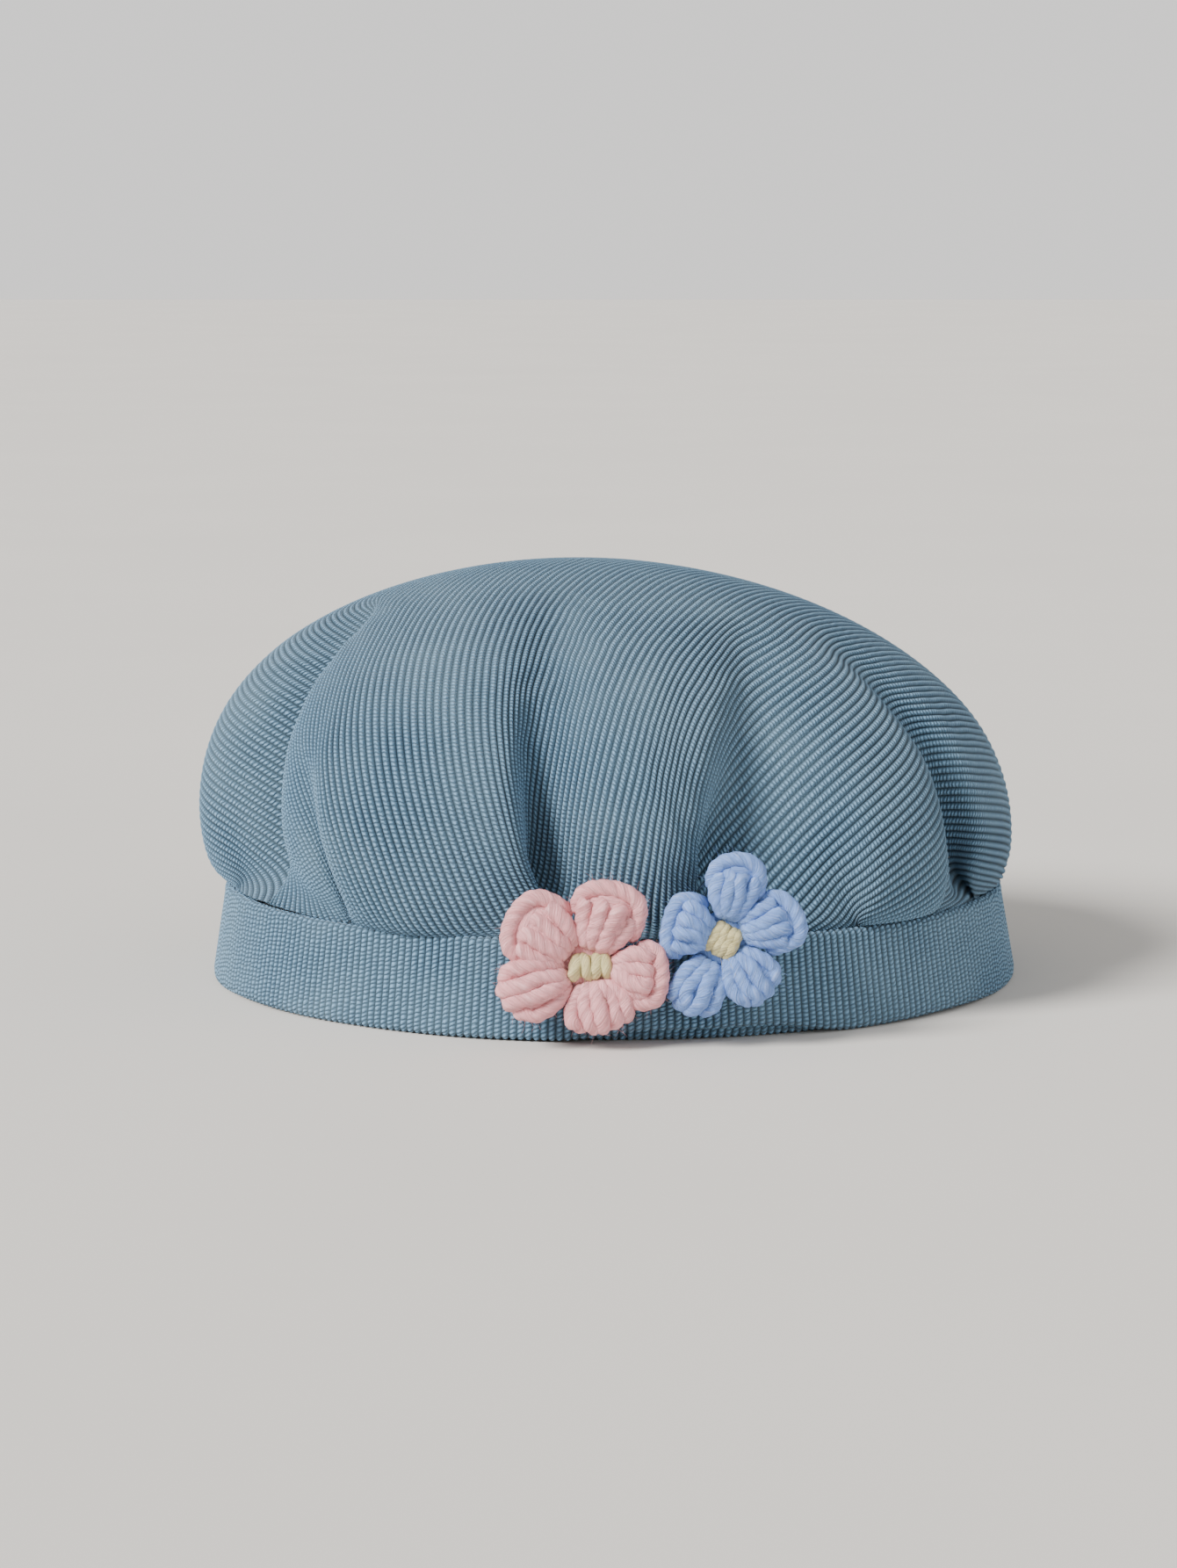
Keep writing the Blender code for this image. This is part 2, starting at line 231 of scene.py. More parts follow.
class BeretStage(PropertyGroup):
    camera_distance: FloatProperty(
        name="Camera distance", description="Distance of the camera from the beret",
        default=0.65, min=0.1, max=5.0, unit="LENGTH",
    )
    camera_elevation: FloatProperty(
        name="Camera elevation", description="Angle of the camera above the horizon",
        default=radians(8.6), subtype="ANGLE",
    )
    lens: FloatProperty(
        name="Lens", description="Focal length in millimetres", default=90.4, min=10.0, max=300.0,
    )
    key_power: FloatProperty(
        name="Key light", description="Strength of the soft light from the left", default=5.5, min=0.0,
    )
    sky: FloatProperty(
        name="Room light", description="Strength of the even light all round", default=0.52, min=0.0,
    )


class BeretSettings(PropertyGroup):
    cloth: PointerProperty(type=BeretCloth)
    flowers: PointerProperty(type=BeretFlowers)
    colours: PointerProperty(type=BeretColours)
    stage: PointerProperty(type=BeretStage)


# ---------------------------------------------------------------------------------------- helpers


def finished(name, bm, material, uv=None):
    """Makes the beret's piece from a bmesh, in place, and has it ride with the cap."""
    mesh = bpy.data.meshes.new(name)
    bm.to_mesh(mesh)
    bm.free()
    mesh.shade_smooth()
    if uv is not None:
        add_uv(mesh, "Grain", uv)
    mesh.materials.append(material)
    piece = bpy.data.objects.new(name, mesh)
    bpy.context.scene.collection.objects.link(piece)
    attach(piece, "root")
    return piece


def add_uv(mesh, name, per_vertex):
    """Gives a mesh a UV map from two numbers for each vertex."""
    layer = mesh.uv_layers.new(name=name)
    corner = np.empty(len(mesh.loops), np.int32)
    mesh.loops.foreach_get("vertex_index", corner)
    layer.uv.foreach_set("vector", per_vertex[corner].astype(np.float32).ravel())


def add_share(mesh, name, per_vertex):
    """Gives a mesh a number for each vertex, for its material to read."""
    layer = mesh.attributes.new(name, "FLOAT", "POINT")
    layer.data.foreach_set("value", per_vertex.astype(np.float32))


def coordinates(bm):
    return np.array([v.co for v in bm.verts], float)


def place(bm, points):
    for vertex, point in zip(bm.verts, points):
        vertex.co = point


def smoothstep(x):
    x = np.clip(x, 0.0, 1.0)
    return x * x * (3.0 - 2.0 * x)


def around(azimuth, centre):
    """Difference of two azimuths in degrees, from -180 to 180."""
    return (azimuth - centre + 180.0) % 360.0 - 180.0


def ripple(azimuth, seed, waves, low=2, high=9):
    """A smooth waviness round the cap, from about -1 to 1, the same each time."""
    rng = np.random.default_rng(seed)
    total = np.zeros_like(azimuth)
    for _ in range(waves):
        n = rng.integers(low, high)
        total += rng.uniform(0.4, 1.0) * np.cos(np.radians(azimuth) * n + rng.uniform(0, 2 * pi))
    return total / (0.7 * waves**0.5 * 1.4)


# ---------------------------------------------------------------------------------------- finishes


def put(tree, kind, inputs=None, **settings):
    """Adds a node, links or sets its inputs, and returns it."""
    node = tree.nodes.new(kind)
    for key, value in settings.items():
        setattr(node, key, value)
    for key, value in (inputs or {}).items():
        if isinstance(value, bpy.types.NodeSocket):
            tree.links.new(value, node.inputs[key])
        else:
            node.inputs[key].default_value = value
    return node


def calc(tree, operation, *values):
    return put(tree, "ShaderNodeMath", dict(enumerate(values)), operation=operation).outputs[0]


def spread(tree, value, low, high, to_low, to_high):
    made = put(
        tree, "ShaderNodeMapRange",
        {"Value": value, "From Min": low, "From Max": high, "To Min": to_low, "To Max": to_high},
    )
    return made.outputs["Result"]


def tint(tree, share, a, b, mode="MIX"):
    """Mixes two colours, b over a by share."""
    made = put(tree, "ShaderNodeMix", {"Factor": share}, data_type="RGBA", blend_type=mode)
    for socket, value in ((made.inputs[6], a), (made.inputs[7], b)):
        if isinstance(value, bpy.types.NodeSocket):
            tree.links.new(value, socket)
        else:
            socket.default_value = (*value, 1.0) if len(value) == 3 else value
    return made.outputs[2]


def fabric(name, roughness, sheen=0.0, sheen_tint=(1, 1, 1), soft=0.0):
    """A material with fabric's constant settings, and its node tree and shader."""
    material = bpy.data.materials.new(name)
    material.use_nodes = True
    tree = material.node_tree
    shader = tree.nodes["Principled BSDF"]
    shader.inputs["Roughness"].default_value = roughness
    shader.inputs["Specular IOR Level"].default_value = 0.22
    shader.inputs["Sheen Weight"].default_value = sheen
    shader.inputs["Sheen Roughness"].default_value = 0.45
    shader.inputs["Sheen Tint"].default_value = (*sheen_tint, 1.0)
    if soft:
        shader.inputs["Subsurface Weight"].default_value = soft
        shader.inputs["Subsurface Radius"].default_value = (1.0, 0.7, 0.6)
        shader.inputs["Subsurface Scale"].default_value = 0.0008
    return material, tree, shader


def noise(tree, vector, scale, detail=2.0, roughness=0.5, kind="3D"):
    made = put(
        tree, "ShaderNodeTexNoise",
        {"Vector": vector, "Scale": scale, "Detail": detail, "Roughness": roughness},
        noise_dimensions=kind,
    )
    return made.outputs["Fac"]


def raise_from(tree, shader, height, distance, strength=1.0):
    """Bump of a shader from a height from 0 to 1."""
    bump = put(tree, "ShaderNodeBump", {"Height": height, "Distance": distance, "Strength": strength})
    tree.links.new(bump.outputs["Normal"], shader.inputs["Normal"])


def corduroy_finish(name, colours, pitch):
    """Fine corduroy: beads on ribs along the grain with painted highlights on the crests, grooves darkened by painted
    shade, worn patches and soft pile.
    """
    material, tree, shader = fabric(name, 0.88, sheen=0.22, sheen_tint=(0.70, 0.82, 0.92))
    grain = put(tree, "ShaderNodeUVMap", uv_map="Grain").outputs["UV"]
    split = put(tree, "ShaderNodeSeparateXYZ", {"Vector": grain})
    across, along = split.outputs["X"], split.outputs["Y"]
    wale = calc(tree, "DIVIDE", across, pitch)
    crest = spread(tree, calc(tree, "COSINE", calc(tree, "MULTIPLY", wale, 2 * pi)), -1, 1, 0, 1)
    number = calc(tree, "FLOOR", calc(tree, "ADD", wale, 0.5))
    chance = put(tree, "ShaderNodeTexWhiteNoise", {"W": number}, noise_dimensions="1D").outputs["Value"]
    slant = calc(tree, "MULTIPLY", calc(tree, "SUBTRACT", wale, number), 0.55)
    step = calc(tree, "ADD", calc(tree, "DIVIDE", along, 0.58 * pitch), calc(tree, "ADD", chance, slant))
    unevenness = noise(tree, grain, 900.0, 1.0)
    step = calc(tree, "ADD", step, calc(tree, "MULTIPLY", unevenness, 0.9))
    bead = spread(tree, calc(tree, "COSINE", calc(tree, "MULTIPLY", step, 2 * pi)), -1, 1, 0, 1)
    bead = calc(tree, "POWER", bead, 0.6)
    pile = noise(tree, grain, 5200.0, 2.0, 0.6)
    rib = calc(tree, "POWER", crest, 0.55)
    # Painted shade: the colour darkens from the crest colour to the groove colour down into each groove.
    colour = tint(tree, rib, colours.cord_groove_shade, colours.cord)
    # Painted highlight on the beads of the crests, and painted shade between the beads and in the grooves.
    bead_light_and_shade = spread(tree, calc(tree, "MULTIPLY", bead, rib), 0, 1, 0.42, 1.32)
    colour = tint(tree, 1.0, colour, put(tree, "ShaderNodeCombineColor", {0: bead_light_and_shade, 1: bead_light_and_shade, 2: bead_light_and_shade}).outputs[0], "MULTIPLY")
    place_ = put(tree, "ShaderNodeTexCoord").outputs["Object"]
    patch = spread(tree, noise(tree, place_, 55.0, 3.0), 0.3, 0.7, 0.0, 1.0)
    colour = tint(tree, calc(tree, "MULTIPLY", patch, 0.22), colour, (0.30, 0.44, 0.53))
    fibre = spread(tree, pile, 0.25, 0.75, 0.86, 1.14)
    colour = tint(tree, 1.0, colour, put(tree, "ShaderNodeCombineColor", {0: fibre, 1: fibre, 2: fibre}).outputs[0], "MULTIPLY")
    tree.links.new(colour, shader.inputs["Base Color"])
    height = calc(tree, "ADD", calc(tree, "MULTIPLY", bead, rib), calc(tree, "MULTIPLY", pile, 0.45))
    raise_from(tree, shader, height, 0.00034)
    tree.links.new(spread(tree, pile, 0.2, 0.8, 0.82, 0.96), shader.inputs["Roughness"])
    return material


def woven_finish(name, colour, uv=True, thread=0.00045):
    """Plain woven cotton: threads over and under, slubs and a little unevenness."""
    material, tree, shader = fabric(name, 0.9, sheen=0.1)
    if uv:
        where = put(tree, "ShaderNodeUVMap", uv_map="Grain").outputs["UV"]
    else:
        where = put(tree, "ShaderNodeTexCoord").outputs["Object"]
    split = put(tree, "ShaderNodeSeparateXYZ", {"Vector": where})
    warp = calc(tree, "SINE", calc(tree, "MULTIPLY", split.outputs["X"], pi / thread))
    weft = calc(tree, "SINE", calc(tree, "MULTIPLY", split.outputs["Y" if uv else "Z"], pi / thread))
    over = spread(tree, calc(tree, "MULTIPLY", warp, weft), -1, 1, 0, 1)
    slub = noise(tree, where, 700.0, 3.0)
    dark = tuple(0.86 * c for c in colour)
    # Painted shade: the cloth darkens where the threads dip under the crossing threads.
    shade = tint(tree, over, dark, tuple(colour))
    shade = tint(tree, calc(tree, "MULTIPLY", slub, 0.25), shade, dark)
    tree.links.new(shade, shader.inputs["Base Color"])
    raise_from(tree, shader, calc(tree, "ADD", over, slub), 0.00008)
    return material


def thread_finish(name, colour, gloss=0.6):
    """Spun sewing thread, with fine twist across its length."""
    material, tree, shader = fabric(name, gloss, sheen=0.15)
    where = put(tree, "ShaderNodeTexCoord").outputs["Object"]
    wave = put(
        tree, "ShaderNodeTexWave",
        {"Vector": where, "Scale": 2600.0, "Distortion": 1.5, "Detail": 1.0},
        bands_direction="DIAGONAL",
    ).outputs["Fac"]
    dark = tuple(0.62 * c for c in colour)
    # Painted shade in the grooves of the twist, darker between its turns.
    tree.links.new(tint(tree, wave, dark, tuple(colour)), shader.inputs["Base Color"])
    tree.links.new(spread(tree, wave, 0, 1, gloss + 0.1, gloss - 0.05), shader.inputs["Roughness"])
    raise_from(tree, shader, wave, 0.00006)
    return material


def yarn_finish(name, colour, turn):
    """Soft acrylic yarn: plies that wind round the strand, with fine fibres along them."""
    material, tree, shader = fabric(name, 0.85, sheen=0.20, sheen_tint=tuple(min(1.0, c * 0.7 + 0.3) for c in colour), soft=0.12)
    lay = put(tree, "ShaderNodeUVMap", uv_map="Lay").outputs["UV"]
    split = put(tree, "ShaderNodeSeparateXYZ", {"Vector": lay})
    winding = calc(tree, "SUBTRACT", split.outputs["X"], calc(tree, "DIVIDE", split.outputs["Y"], turn))
    ply = spread(tree, calc(tree, "COSINE", calc(tree, "MULTIPLY", winding, 6 * pi)), -1, 1, 0, 1)
    fine = put(
        tree, "ShaderNodeCombineXYZ",
        {0: calc(tree, "MULTIPLY", winding, 22.0), 1: calc(tree, "MULTIPLY", split.outputs["Y"], 300.0)},
    )
    fibre = noise(tree, fine.outputs[0], 1.0, 3.0, 0.65)
    place_ = put(tree, "ShaderNodeTexCoord").outputs["Object"]
    patch = noise(tree, place_, 330.0, 2.0)
    deep = tuple(0.62 * c**1.35 for c in colour)
    pale = tuple(0.72 * c + 0.28 for c in colour)
    # Painted shade in the grooves between the plies.
    shade = tint(tree, spread(tree, ply, 0, 1, 0.0, 1.0), tuple(0.86 * c for c in colour), tuple(colour))
    # Fibre streaks: partly the fibres' own uneven tone, partly painted shade between the fibres and painted highlights
    # on them.
    shade = tint(tree, spread(tree, fibre, 0.48, 0.30, 0.0, 0.55), shade, deep)
    shade = tint(tree, spread(tree, fibre, 0.52, 0.72, 0.0, 0.85), shade, pale)
    shade = tint(tree, spread(tree, patch, 0.40, 0.75, 0.0, 0.30), shade, deep)
    tree.links.new(shade, shader.inputs["Base Color"])
    raise_from(tree, shader, calc(tree, "ADD", calc(tree, "MULTIPLY", ply, 0.45), fibre), 0.00055)
    return material


def floor_finish(name, colour):
    """Plain pale paper-like floor with the faintest mottling."""
    material, tree, shader = fabric(name, 0.9)
    where = put(tree, "ShaderNodeTexCoord").outputs["Object"]
    mottle = noise(tree, where, 9.0, 4.0)
    shade = tint(tree, spread(tree, mottle, 0.3, 0.7, 0, 1), tuple(0.97 * c for c in colour), tuple(colour))
    tree.links.new(shade, shader.inputs["Base Color"])
    return material


# ---------------------------------------------------------------------------------------- crown


class Gathering:
    """How the edge of the flat round cut is taken up in folds along the seam of the band."""

    def __init__(self, radius):
        self.azimuth = np.linspace(-180.0, 180.0, 3601)
        turn = np.radians(self.azimuth)
        x, y = RIM_HALF * np.sin(turn), RIM_HALF * DEPTH * np.cos(turn)
        seam = np.concatenate([[0.0], np.cumsum(np.hypot(np.diff(x), np.diff(y)))])
        spare = 2 * pi * radius - seam[-1]
        share = spare / sum(fold[1] for fold in FOLDS)
        self.folds = [(around(a, 0.0), taken * share, *rest) for a, taken, *rest in FOLDS]
        density = np.zeros_like(self.azimuth)
        for centre, taken, _, _, width, _, _ in self.folds:
            bump = np.clip(1 - (around(self.azimuth, centre) / (width / 2)) ** 2, 0, None) ** 2
            density += taken * bump / np.trapz(bump, self.azimuth)
        steps = (density[1:] + density[:-1]) / 2 * np.diff(self.azimuth)
        self.cloth = seam + np.concatenate([[0.0], np.cumsum(steps)])

    def along_edge(self, flat_azimuth):
        return (flat_azimuth + 180.0) % 360.0 / 360.0 * self.cloth[-1]

    def seam_azimuth(self, flat_azimuth):
        return np.interp(self.along_edge(flat_azimuth), self.cloth, self.azimuth)

    def tucks(self, flat_azimuth, share, fold_depth):
        """How far each point of the cut moves round and in where the cloth folds over on itself."""
        edge = self.along_edge(flat_azimuth)
        whole = self.cloth[-1]
        sideways, inward, upward = np.zeros_like(edge), np.zeros_like(edge), np.zeros_like(edge)
        for centre, taken, up, lean, width, depth, lip in self.folds:
            start, end = np.interp((centre - width / 2, centre + width / 2), self.azimuth, self.cloth)
            along = np.clip((share - 1 + up) / up, 0, 1)
            middle = (start + end) / 2 + lean * (1 - along) * whole / 360
            off = (edge - middle + whole / 2) % whole - whole / 2
            t = lip * off / (end - start) * 2
            wrap = np.clip(1 - abs(t) ** 3, 0, 1)
            sideways -= lip * 0.23 * taken * share * along**1.5 * np.sin(pi * np.clip(t, -1, 1)) * wrap
            deep = depth * MM * fold_depth * along**0.7
            deep = deep * (0.02 + 0.98 * np.clip((1 - share) / 0.07, 0, 1) ** 0.7)
            inward += deep * (0.70 * np.exp(-(((t - 0.50) / 0.56) ** 2)) + 0.38 * np.exp(-((t / 1.5) ** 2)))
            upward += depth * MM * 0.40 * np.exp(-((t / 1.1) ** 2))
        return sideways, inward, np.minimum(upward, 4.5 * MM)


def worn_profile():
    """Half width and height of the crown from its top down to the seam, and the length along it."""
    over = np.linspace(0, pi / 2, 200)
    under = np.linspace(0, pi / 2, 60)[1:]
    full = 2 / SQUARENESS
    half = np.concatenate([
        CROWN_HALF * np.sin(over) ** full, RIM_HALF + (CROWN_HALF - RIM_HALF) * np.cos(under),
    ])
    height = np.concatenate([
        WIDEST_Z + (DOME_Z - WIDEST_Z) * np.cos(over).clip(0) ** full,
        WIDEST_Z - (WIDEST_Z - SEAM_Z) * np.sin(under),
    ])
    length = np.concatenate([[0.0], np.cumsum(np.hypot(np.diff(half), np.diff(height)))])
    return half, height, length


def worn_shape(flat, radius, fold_depth):
    """Where each point of the flat cut comes to lie when its edge is gathered to the seam."""
    gathering = Gathering(radius)
    out = np.hypot(flat[:, 0], flat[:, 1])
    flat_azimuth = np.degrees(np.arctan2(flat[:, 0], -flat[:, 1]))
    share = out / radius
    taken_round = np.clip((share - 0.30) / 0.7, 0, 1) ** 1.3
    azimuth = flat_azimuth + around(gathering.seam_azimuth(flat_azimuth), flat_azimuth) * taken_round
    half, height, length = worn_profile()
    reach = share * length[-1]
    r = np.interp(reach, length, half)
    z = np.interp(reach, length, height)
    sideways, inward, upward = gathering.tucks(flat_azimuth, share, fold_depth)
    r = np.maximum(r - inward * np.clip(r / (20 * MM), 0, 1), 0)
    low = np.exp(-(((share - 0.93) / 0.045) ** 2))
    heavy = np.exp(-(((azimuth + 25.0) / 9.0) ** 4))
    z = z + (upward - 1.8 * MM - 3.6 * MM * heavy) * low
    r = r + 1.0 * MM * heavy * low
    azimuth = azimuth + np.degrees(sideways / np.maximum(r, 5 * MM))
    edge = share > 1 - 0.5 / SIM_RINGS
    turn = np.radians(azimuth)
    rise = np.clip((z - SEAM_Z) / (TOP_Z - SEAM_Z), 0, 1)
    return np.stack([r * np.sin(turn) + LEAN * rise, -r * DEPTH * np.cos(turn), z], axis=1), edge


def settled_crown(cloth):
    """Gathers the flat cut into the seam and lets it settle, filled. Returns a lattice of its points."""
    bm = bmesh.new()
    spokes = [bm.verts.new((cloth.cut_radius * i / SIM_RINGS, 0, 0)) for i in range(SIM_RINGS + 1)]
    edges = [bm.edges.new(pair) for pair in zip(spokes, spokes[1:])]
    bmesh.ops.spin(
        bm, geom=spokes + edges, cent=(0, 0, 0), axis=(0, 0, 1), angle=2 * pi, steps=SIM_SECTORS,
        use_merge=True,
    )
    bmesh.ops.remove_doubles(bm, verts=bm.verts, dist=1e-6)
    flat = coordinates(bm)
    worn, edge = worn_shape(flat, cloth.cut_radius, cloth.fold_depth)
    mesh = bpy.data.meshes.new("settling")
    bm.to_mesh(mesh)
    bm.free()
    points = worn
    points = run_cloth(mesh, flat, worn, edge, cloth)
    bpy.data.meshes.remove(mesh)
    ring = np.rint(np.hypot(flat[:, 0], flat[:, 1]) / cloth.cut_radius * SIM_RINGS).astype(int)
    sector = np.rint(np.degrees(np.arctan2(flat[:, 0], -flat[:, 1])) / 360 * SIM_SECTORS).astype(int)
    lattice = np.zeros((SIM_RINGS + 1, SIM_SECTORS, 3))
    lattice[ring, sector % SIM_SECTORS] = points
    lattice[0] = points[ring == 0][0]
    return eased(lattice, 2)


def eased(lattice, times):
    """The lattice with the smallest crumples pressed out of it, its edge and middle left in place."""
    for _ in range(times):
        lattice = (np.roll(lattice, 1, axis=1) + 2 * lattice + np.roll(lattice, -1, axis=1)) / 4
        inner = (lattice[:-2] + 2 * lattice[1:-1] + lattice[2:]) / 4
        lattice = np.concatenate([lattice[:1], inner, lattice[-1:]])
    return lattice


def run_cloth(mesh, flat, worn, edge, cloth):
    """Runs Blender's cloth on the cut while its edge is drawn in, and returns where the points end."""
    scene = bpy.context.scene
    item = bpy.data.objects.new("settling", mesh)
    scene.collection.objects.link(item)
    start = ((flat + (0, 0, SEAM_Z)) * SIM_SCALE).astype(np.float32).ravel()
    item.shape_key_add(name="Basis")
    drawn_in = item.shape_key_add(name="Worn")
    mesh.vertices.foreach_set("co", start)
    mesh.shape_keys.key_blocks["Basis"].data.foreach_set("co", start)
    drawn_in.data.foreach_set("co", (worn * SIM_SCALE).astype(np.float32).ravel())
    for frame_number, value in ((1, 0.0), (CLOSE_FRAME, 1.0)):
        drawn_in.value = value
        drawn_in.keyframe_insert("value", frame=frame_number)
    hold = item.vertex_groups.new(name="hold")
    hold.add([int(i) for i in np.flatnonzero(edge)], 1.0, "REPLACE")
    hold.add([int(i) for i in np.flatnonzero(~edge)], cloth.shape_hold, "REPLACE")
    modifier = item.modifiers.new("Cloth", "CLOTH")
    settings = modifier.settings
    settings.quality = 6
    settings.mass = 0.3
    settings.tension_stiffness = 15
    settings.compression_stiffness = 15
    settings.shear_stiffness = 4.5
    settings.bending_stiffness = cloth.stiffness
    settings.tension_damping = 5
    settings.compression_damping = 5
    settings.shear_damping = 5
    settings.bending_damping = 0.5
    settings.air_damping = 2
    settings.vertex_group_mass = hold.name
    settings.pin_stiffness = 1
    settings.effector_weights.gravity = 0
    settings.use_pressure = True
    settings.uniform_pressure_force = cloth.fullness
    modifier.collision_settings.use_collision = False
    modifier.point_cache.frame_start = 1
    modifier.point_cache.frame_end = LAST_FRAME
    old_end = scene.frame_end
    scene.frame_end = LAST_FRAME
    for number in range(1, LAST_FRAME + 1):
        scene.frame_set(number)
    settled = item.evaluated_get(bpy.context.evaluated_depsgraph_get()).to_mesh()
    points = np.empty(len(settled.vertices) * 3, np.float32)
    settled.vertices.foreach_get("co", points)
    action = mesh.shape_keys.animation_data.action
    bpy.data.objects.remove(item)
    bpy.data.actions.remove(action)
    scene.frame_end = old_end
    scene.frame_set(1)
    return points.reshape(-1, 3).astype(float) / SIM_SCALE


def on_lattice(lattice, flat, radius):
    """Smoothly interpolated points of the settled crown for points of the flat cut."""
    rings, sectors = lattice.shape[0] - 1, lattice.shape[1]
    inner = np.roll(lattice[1], sectors // 2, axis=0)[None]
    outer = (2 * lattice[-1] - lattice[-2])[None]
    padded = np.concatenate([inner, lattice, outer])
    u = np.clip(np.hypot(flat[:, 0], flat[:, 1]) / radius * rings, 0, rings - 1e-6)
    v = np.degrees(np.arctan2(flat[:, 0], -flat[:, 1])) / 360 * sectors
    ring, sector = np.floor(u).astype(int), np.floor(v).astype(int)

    def weights(t):
        return np.stack([
            -0.5 * t + t**2 - 0.5 * t**3, 1 - 2.5 * t**2 + 1.5 * t**3,
            0.5 * t + 2 * t**2 - 1.5 * t**3, -0.5 * t**2 + 0.5 * t**3,
        ])

    wu, wv = weights(u - ring), weights(v - sector)
    total = np.zeros((len(flat), 3))
    for i in range(4):
        for j in range(4):
            total += (wu[i] * wv[j])[:, None] * padded[ring + i, (sector + j - 1) % sectors]
    return total


class BERET_OT_crown(Operator):
    """Gathers the round corduroy crown, lets it settle, and raises the ribs of its cloth"""

    bl_idname = "beret.crown"
    bl_label = "Gathered Crown"

    def execute(self, context):
        beret = context.scene.beret
        cloth = beret.cloth
        radius, pitch = cloth.cut_radius, cloth.wale_pitch
        lattice = settled_crown(cloth)
        wales = 2 * ceil(radius / pitch)
        rows = 2 * ceil(radius / (1.40 * MM))
        samples = 4
        bm = bmesh.new()
        bmesh.ops.create_grid(bm, x_segments=wales * samples, y_segments=rows, size=0.5)
        bmesh.ops.scale(bm, verts=bm.verts, vec=(wales * pitch, rows * 1.40 * MM, 1.0))
        beyond = [v for v in bm.verts if v.co.length > radius]
        spare = [f for f in bm.faces if all(v.co.length > radius for v in f.verts)]
        bmesh.ops.delete(bm, geom=spare, context="FACES")
        for vertex in bm.verts:
            if vertex.co.length > radius:
                vertex.co *= radius / vertex.co.length
        grain = coordinates(bm)[:, :2]
        turn = -cloth.grain
        flat = grain @ np.array([[cos(turn), sin(turn)], [-sin(turn), cos(turn)]])
        step = 0.2 * MM
        base = on_lattice(lattice, flat, radius)
        over = on_lattice(lattice, flat + (step, 0), radius) - on_lattice(lattice, flat - (step, 0), radius)
        up = on_lattice(lattice, flat + (0, step), radius) - on_lattice(lattice, flat - (0, step), radius)
        normal = np.cross(over, up)
        normal /= np.maximum(np.linalg.norm(normal, axis=1), 1e-12)[:, None]
        rib = np.cos(2 * pi * grain[:, 0] / pitch)
        rib = np.where(rib > 0, rib, rib * 1.0)
        height = cloth.wale_height * (np.where(abs(rib) < 0.3, 0.72, 0.5 + 0.5 * rib) - 0.75)
        place(bm, base + normal * height[:, None])
        finish = corduroy_finish("corduroy", beret.colours, pitch)
        crown = finished("crown", bm, finish, grain)
        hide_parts("crown_shell")
        return {"FINISHED"}


# ---------------------------------------------------------------------------------------- band


def even_azimuths(count):
    """Azimuths at even steps of length round the ellipse of the band."""
    azimuth = np.linspace(0, 2 * pi, 7201)
    x, y = np.sin(azimuth), DEPTH * np.cos(azimuth)
    length = np.concatenate([[0.0], np.cumsum(np.hypot(np.diff(x), np.diff(y)))])
    return np.interp(np.arange(count + 1) / count * length[-1], length, azimuth), length[-1]


def band_ring(profile, count, raise_rib, shape):
    """A cloth ring from a profile of half widths and heights, rolled up from a strip, with its ribs raised.

    Its UV map is the strip laid flat, in metres: across the ribs round the ring, then along them.
    """
    bm = bmesh.new()
    layer = bm.loops.layers.uv.new("Grain")
    bmesh.ops.create_grid(bm, x_segments=count, y_segments=len(profile) - 1, size=0.5, calc_uvs=True)
    strip = coordinates(bm)
    step = np.rint((strip[:, 0] + 0.5) * count).astype(int)
    row = np.rint((strip[:, 1] + 0.5) * (len(profile) - 1)).astype(int)
    azimuths, unit_length = even_azimuths(count)
    knots = np.array(profile)
    run = np.concatenate([[0.0], np.cumsum(np.hypot(*np.diff(knots, axis=0).T))])
    for face in bm.faces:
        for corner in face.loops:
            u, v = corner[layer].uv
            corner[layer].uv = (u * unit_length * HEM_HALF, run[round(v * (len(profile) - 1))])
    tangent = np.gradient(knots, axis=0)
    tangent /= np.linalg.norm(tangent, axis=1)[:, None]
    turn = azimuths[step]
    half, z = knots[row, 0], knots[row, 1]
    lift = raise_rib(step)
    more_half, more_z = shape(np.degrees(turn), half, z)
    half = half + more_half - lift * tangent[row, 1]
    z = z + more_z + lift * tangent[row, 0]
    place(bm, np.stack([half * np.sin(turn), -half * DEPTH * np.cos(turn), z], axis=1))
    bmesh.ops.remove_doubles(bm, verts=bm.verts, dist=1e-6)
    return bm


def hem_lift(azimuth):
    """How far the folded hem rides up, most of all under the flowers, where the facing shows below it."""
    front = smoothstep(1.5 - abs(around(azimuth, 13.0)) / 14.0)
    return np.maximum(0.0, (0.25 + 0.25 * ripple(azimuth, 5, 5, 3, 14)) + 1.7 * front) * MM


